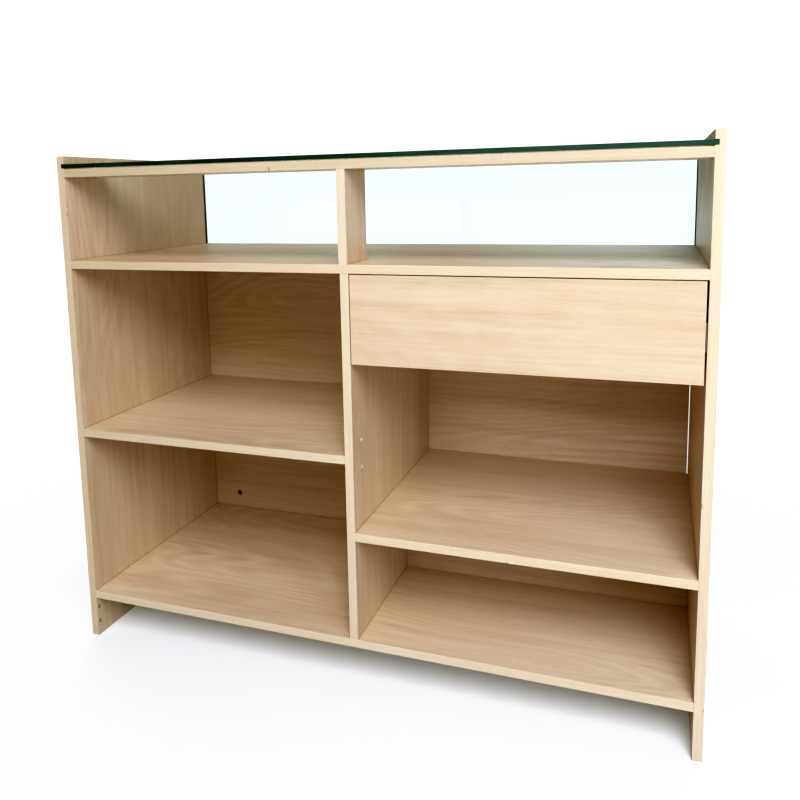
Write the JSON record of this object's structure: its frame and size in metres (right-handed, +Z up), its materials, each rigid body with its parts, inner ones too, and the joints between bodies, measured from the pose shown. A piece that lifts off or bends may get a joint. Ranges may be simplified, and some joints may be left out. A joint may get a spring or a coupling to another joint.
{
  "type": "checkout counter",
  "caption": "Shop counter seen from the staff side: open shelf bays, an inset drawer on telescopic runners, and a glazed display space under a glass top.",
  "frame": {"origin": "centre of the footprint, on the floor under the side panels", "axes": "+Z up, -Y towards the staff side where the bays and the drawer open, +Y towards the customer side, +X to the right for somebody on the staff side"},
  "size_m": [1.2, 0.5, 1],
  "materials": {
    "maple_melamine": "satin maple-grain melamine board",
    "maple_edging": "satin plastic edging, paler than the board",
    "clear_glass": "clear float glass with ground green edges",
    "glazing_rubber": "dark brown rubber strip",
    "clear_pad": "translucent soft pad",
    "zinc_steel_screws": "zinc plated",
    "black_rubber": "matt black rubber",
    "zinc_plated_steel": "bright zinc plated sheet",
    "polished_steel": "polished balls",
    "cast_zinc": "nickel plated zinc casting",
    "beech_dowel": "fluted beech",
    "ivory_plastic": "ivory plastic",
    "hardboard": "lacquered hardboard"
  },
  "bodies": {
    "carcass": {"back_panel": "maple_melamine", "bottom_shelf": "maple_melamine", "cam_bolts": "zinc_steel_screws", "cam_locks": "cast_zinc", "centre_divider": "maple_melamine", "customer_kickboard": "maple_melamine", "display_post": "maple_melamine", "display_shelf": "maple_melamine", "divider_screws": "zinc_steel_screws", "edging_bottom_shelf": "maple_edging", "edging_display_post": "maple_edging", "edging_display_shelf": "maple_edging", "edging_divider": "maple_edging", "edging_mid_shelf_left": "maple_edging", "edging_mid_shelf_right": "maple_edging", "edging_side_left": "maple_edging", "edging_side_right": "maple_edging", "edging_top_rail": "maple_edging", "false_back_right": "maple_melamine", "glass_customer_pane": "clear_glass", "glass_pads": "clear_pad", "glass_top": "clear_glass", "glazing_strips": "glazing_rubber", "hole_plugs": "ivory_plastic", "mid_shelf_left": "maple_melamine", "mid_shelf_right": "maple_melamine", "runner_bumpers": "black_rubber", "runner_cabinet_left": "zinc_plated_steel", "runner_cabinet_right": "zinc_plated_steel", "runner_screws_carcass": "zinc_steel_screws", "side_panel_left": "maple_melamine", "side_panel_right": "maple_melamine", "top_front_rail": "maple_melamine", "wooden_dowels": "beech_dowel"},
    "drawer": {"drawer_front": "maple_melamine", "edging_drawer_front": "maple_edging", "drawer_side_left": "maple_melamine", "drawer_side_right": "maple_melamine", "drawer_box_front": "maple_melamine", "drawer_back": "maple_melamine", "drawer_bottom": "hardboard", "runner_drawer_left": "zinc_plated_steel", "runner_drawer_right": "zinc_plated_steel", "runner_screws_drawer": "zinc_steel_screws", "drawer_box_screws": "zinc_steel_screws", "drawer_front_screws": "zinc_steel_screws"},
    "runner_middle": {"runner_middle_left": "zinc_plated_steel", "runner_middle_right": "zinc_plated_steel"},
    "ball_cage_outer": {"ball_cages_outer": "zinc_plated_steel", "bearing_balls_outer": "polished_steel"},
    "ball_cage_inner": {"ball_cages_inner": "zinc_plated_steel", "bearing_balls_inner": "polished_steel"}
  },
  "joints": [
    {"name": "drawer_slide", "type": "slide", "parent": "carcass", "child": "drawer", "axis": [0, -1, 0], "range_m": [0, 0.43]},
    {"name": "runner_middle_slide", "type": "slide", "parent": "carcass", "child": "runner_middle", "axis": [0, -1, 0], "range_m": [0, 0.215]},
    {"name": "ball_cage_outer_slide", "type": "slide", "parent": "carcass", "child": "ball_cage_outer", "axis": [0, -1, 0], "range_m": [0, 0.1075]},
    {"name": "ball_cage_inner_slide", "type": "slide", "parent": "carcass", "child": "ball_cage_inner", "axis": [0, -1, 0], "range_m": [0, 0.3225]}
  ],
  "couplings": [
    {"joint": "runner_middle_slide", "follows": "drawer_slide", "ratio": 0.5},
    {"joint": "ball_cage_outer_slide", "follows": "drawer_slide", "ratio": 0.25},
    {"joint": "ball_cage_inner_slide", "follows": "drawer_slide", "ratio": 0.75}
  ]
}
